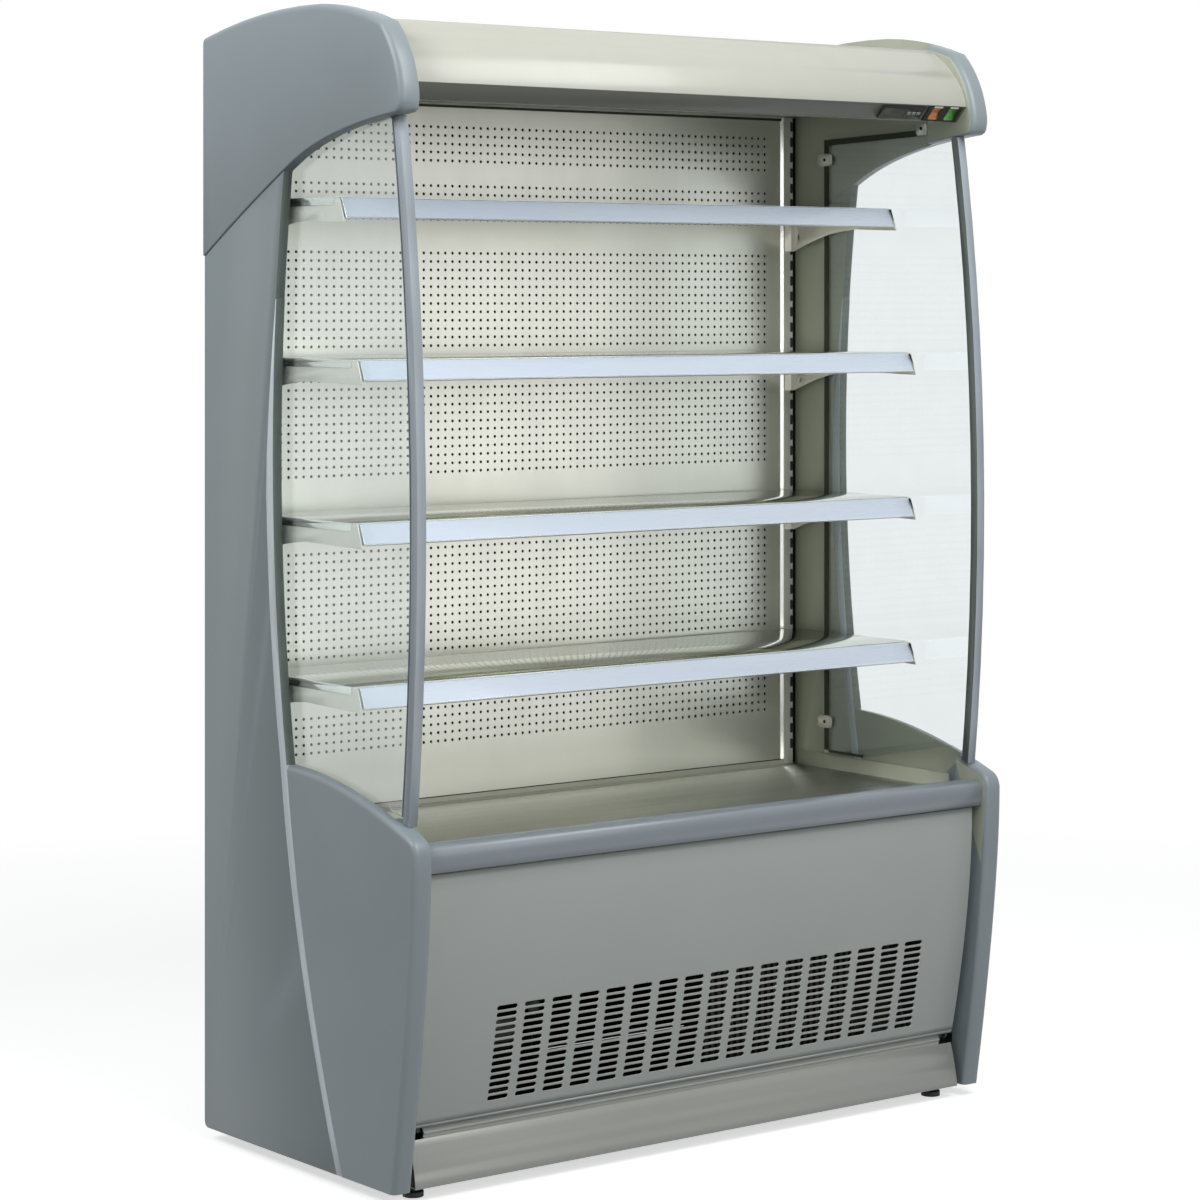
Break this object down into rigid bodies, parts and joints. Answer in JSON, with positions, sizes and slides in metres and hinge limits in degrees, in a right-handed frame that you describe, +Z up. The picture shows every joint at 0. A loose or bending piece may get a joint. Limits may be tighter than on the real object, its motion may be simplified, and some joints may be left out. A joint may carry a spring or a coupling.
{
  "type": "refrigerated display case",
  "caption": "Open-front multideck chiller: hooked shelves with tilted price rails, glazed ends, rounded cheeks and end caps, louvred tip-out front panel, rocker switches.",
  "frame": {"origin": "floor level at the centre of the overall box", "axes": "+Z up, -Y towards the shopper, +X to the shopper's right"},
  "size_m": [1.33, 0.656, 1.9907],
  "materials": {
    "frame_steel": "satin dark grey powder coat",
    "kick_steel": "satin silver-grey paint",
    "rear_steel": "galvanised grey",
    "tub_white": "white moulded liner",
    "roof_steel": "light grey coated sheet",
    "white_steel": "white coated sheet",
    "side_paint": "satin grey painted sheet over foam",
    "cheek_plastic": "satin grey moulding",
    "strip_plastic": "satin light strip",
    "cap_plastic": "satin grey moulding",
    "glass": "clear float glass with polished edges",
    "post_aluminium": "satin painted section",
    "black_plastic": "black moulded plastic",
    "upright_steel": "light grey powder coat",
    "back_paint": "cream-grey powder coat, perforated",
    "deck_steel": "brushed stainless steel",
    "grille_paint": "dark powder coat",
    "bumper_plastic": "satin blue-grey section",
    "canopy_paint": "smooth light grey paint",
    "honeycomb": "grey air cells",
    "lamp_glass": "white coated lamp tube",
    "white_plastic": "white moulded plastic",
    "key_plastic": "light grey keys",
    "orange_plastic": "glossy orange rocker",
    "green_plastic": "glossy green rocker",
    "shelf_paint": "light grey powder coat",
    "rail_plastic": "light blue-grey extrusion",
    "bracket_paint": "light grey powder coat",
    "panel_paint": "satin silver paint",
    "compressor_paint": "gloss black shell",
    "fin_aluminium": "plain fins",
    "zinc_steel": "galvanised sheet",
    "foot_rubber": "black foot"
  },
  "bodies": {
    "cabinet": {"base_frame": "frame_steel", "kick_plate": "kick_steel", "kick_rail": "kick_steel", "back_wall": "rear_steel", "inner_tub": "tub_white", "roof_panel": "roof_steel", "ceiling_panel": "white_steel", "rear_grille": "rear_steel", "left_side_panel": "side_paint", "right_side_panel": "side_paint", "left_cheek": "cheek_plastic", "right_cheek": "cheek_plastic", "accent_strips": "strip_plastic", "left_end_cap": "cap_plastic", "right_end_cap": "cap_plastic", "left_glass": "glass", "right_glass": "glass", "left_post": "post_aluminium", "right_post": "post_aluminium", "glass_clips": "black_plastic", "uprights": "upright_steel", "back_panel": "back_paint", "deck_tray": "deck_steel", "return_grille": "grille_paint", "bumper": "bumper_plastic", "canopy": "canopy_paint", "air_honeycomb": "honeycomb", "lamp_tube": "lamp_glass", "lamp_holders": "white_plastic", "controller": "black_plastic", "switch_frame": "black_plastic", "shelf_1": "shelf_paint", "shelf_2": "shelf_paint", "shelf_3": "shelf_paint", "shelf_4": "shelf_paint", "rail_1": "rail_plastic", "rail_2": "rail_plastic", "rail_3": "rail_plastic", "rail_4": "rail_plastic", "left_brackets": "bracket_paint", "right_brackets": "bracket_paint", "compressor": "compressor_paint", "condenser": "fin_aluminium", "condenser_fan_mount": "black_plastic", "evaporator": "fin_aluminium", "evaporator_fan_plate": "zinc_steel"},
    "front_panel": {"front_panel": "panel_paint", "panel_hooks": "black_plastic"},
    "orange_rocker": {"orange_rocker": "orange_plastic"},
    "green_rocker": {"green_rocker": "green_plastic"},
    "key_1": {"key_1": "key_plastic"},
    "key_2": {"key_2": "key_plastic"},
    "key_3": {"key_3": "key_plastic"},
    "condenser_fan": {"condenser_fan": "black_plastic"},
    "evaporator_fan_left": {"evaporator_fan_left": "black_plastic"},
    "evaporator_fan_right": {"evaporator_fan_right": "black_plastic"},
    "foot_front_left": {"foot_front_left": "foot_rubber"},
    "foot_front_right": {"foot_front_right": "foot_rubber"},
    "foot_rear_left": {"foot_rear_left": "foot_rubber"},
    "foot_rear_right": {"foot_rear_right": "foot_rubber"}
  },
  "joints": [
    {"name": "panel_tip", "type": "hinge", "parent": "cabinet", "child": "front_panel", "pos_m": [0, -0.23, 0.112], "axis": [1, 0, 0], "range_deg": [0, 65]},
    {"name": "orange_rock", "type": "hinge", "parent": "cabinet", "child": "orange_rocker", "pos_m": [0.552, -0.25817, 1.83683], "axis": [1, 0, 0], "range_deg": [0, 14]},
    {"name": "green_rock", "type": "hinge", "parent": "cabinet", "child": "green_rocker", "pos_m": [0.592, -0.25817, 1.83683], "axis": [1, 0, 0], "range_deg": [0, 14]},
    {"name": "key_1_press", "type": "slide", "parent": "cabinet", "child": "key_1", "axis": [0, 0.7071, 0.7071], "range_m": [0, 0.0008], "stiffness_N_per_m": 400},
    {"name": "key_2_press", "type": "slide", "parent": "cabinet", "child": "key_2", "axis": [0, 0.7071, 0.7071], "range_m": [0, 0.0008], "stiffness_N_per_m": 400},
    {"name": "key_3_press", "type": "slide", "parent": "cabinet", "child": "key_3", "axis": [0, 0.7071, 0.7071], "range_m": [0, 0.0008], "stiffness_N_per_m": 400},
    {"name": "condenser_fan_spin", "type": "hinge", "parent": "cabinet", "child": "condenser_fan", "pos_m": [0.25, -0.088, 0.188], "axis": [0, 1, 0], "continuous": true},
    {"name": "evaporator_fan_left_spin", "type": "hinge", "parent": "cabinet", "child": "evaporator_fan_left", "pos_m": [-0.3, -0.076, 0.489], "axis": [0, 1, 0], "continuous": true},
    {"name": "evaporator_fan_right_spin", "type": "hinge", "parent": "cabinet", "child": "evaporator_fan_right", "pos_m": [0.3, -0.076, 0.489], "axis": [0, 1, 0], "continuous": true},
    {"name": "foot_front_left_turn", "type": "hinge", "parent": "cabinet", "child": "foot_front_left", "pos_m": [-0.5869, -0.2144, 0.03], "axis": [0, 0, 1], "range_deg": [-720, 720]},
    {"name": "foot_front_right_turn", "type": "hinge", "parent": "cabinet", "child": "foot_front_right", "pos_m": [0.5869, -0.2144, 0.03], "axis": [0, 0, 1], "range_deg": [-720, 720]},
    {"name": "foot_rear_left_turn", "type": "hinge", "parent": "cabinet", "child": "foot_rear_left", "pos_m": [-0.5869, 0.278, 0.03], "axis": [0, 0, 1], "range_deg": [-720, 720]},
    {"name": "foot_rear_right_turn", "type": "hinge", "parent": "cabinet", "child": "foot_rear_right", "pos_m": [0.5869, 0.278, 0.03], "axis": [0, 0, 1], "range_deg": [-720, 720]}
  ]
}
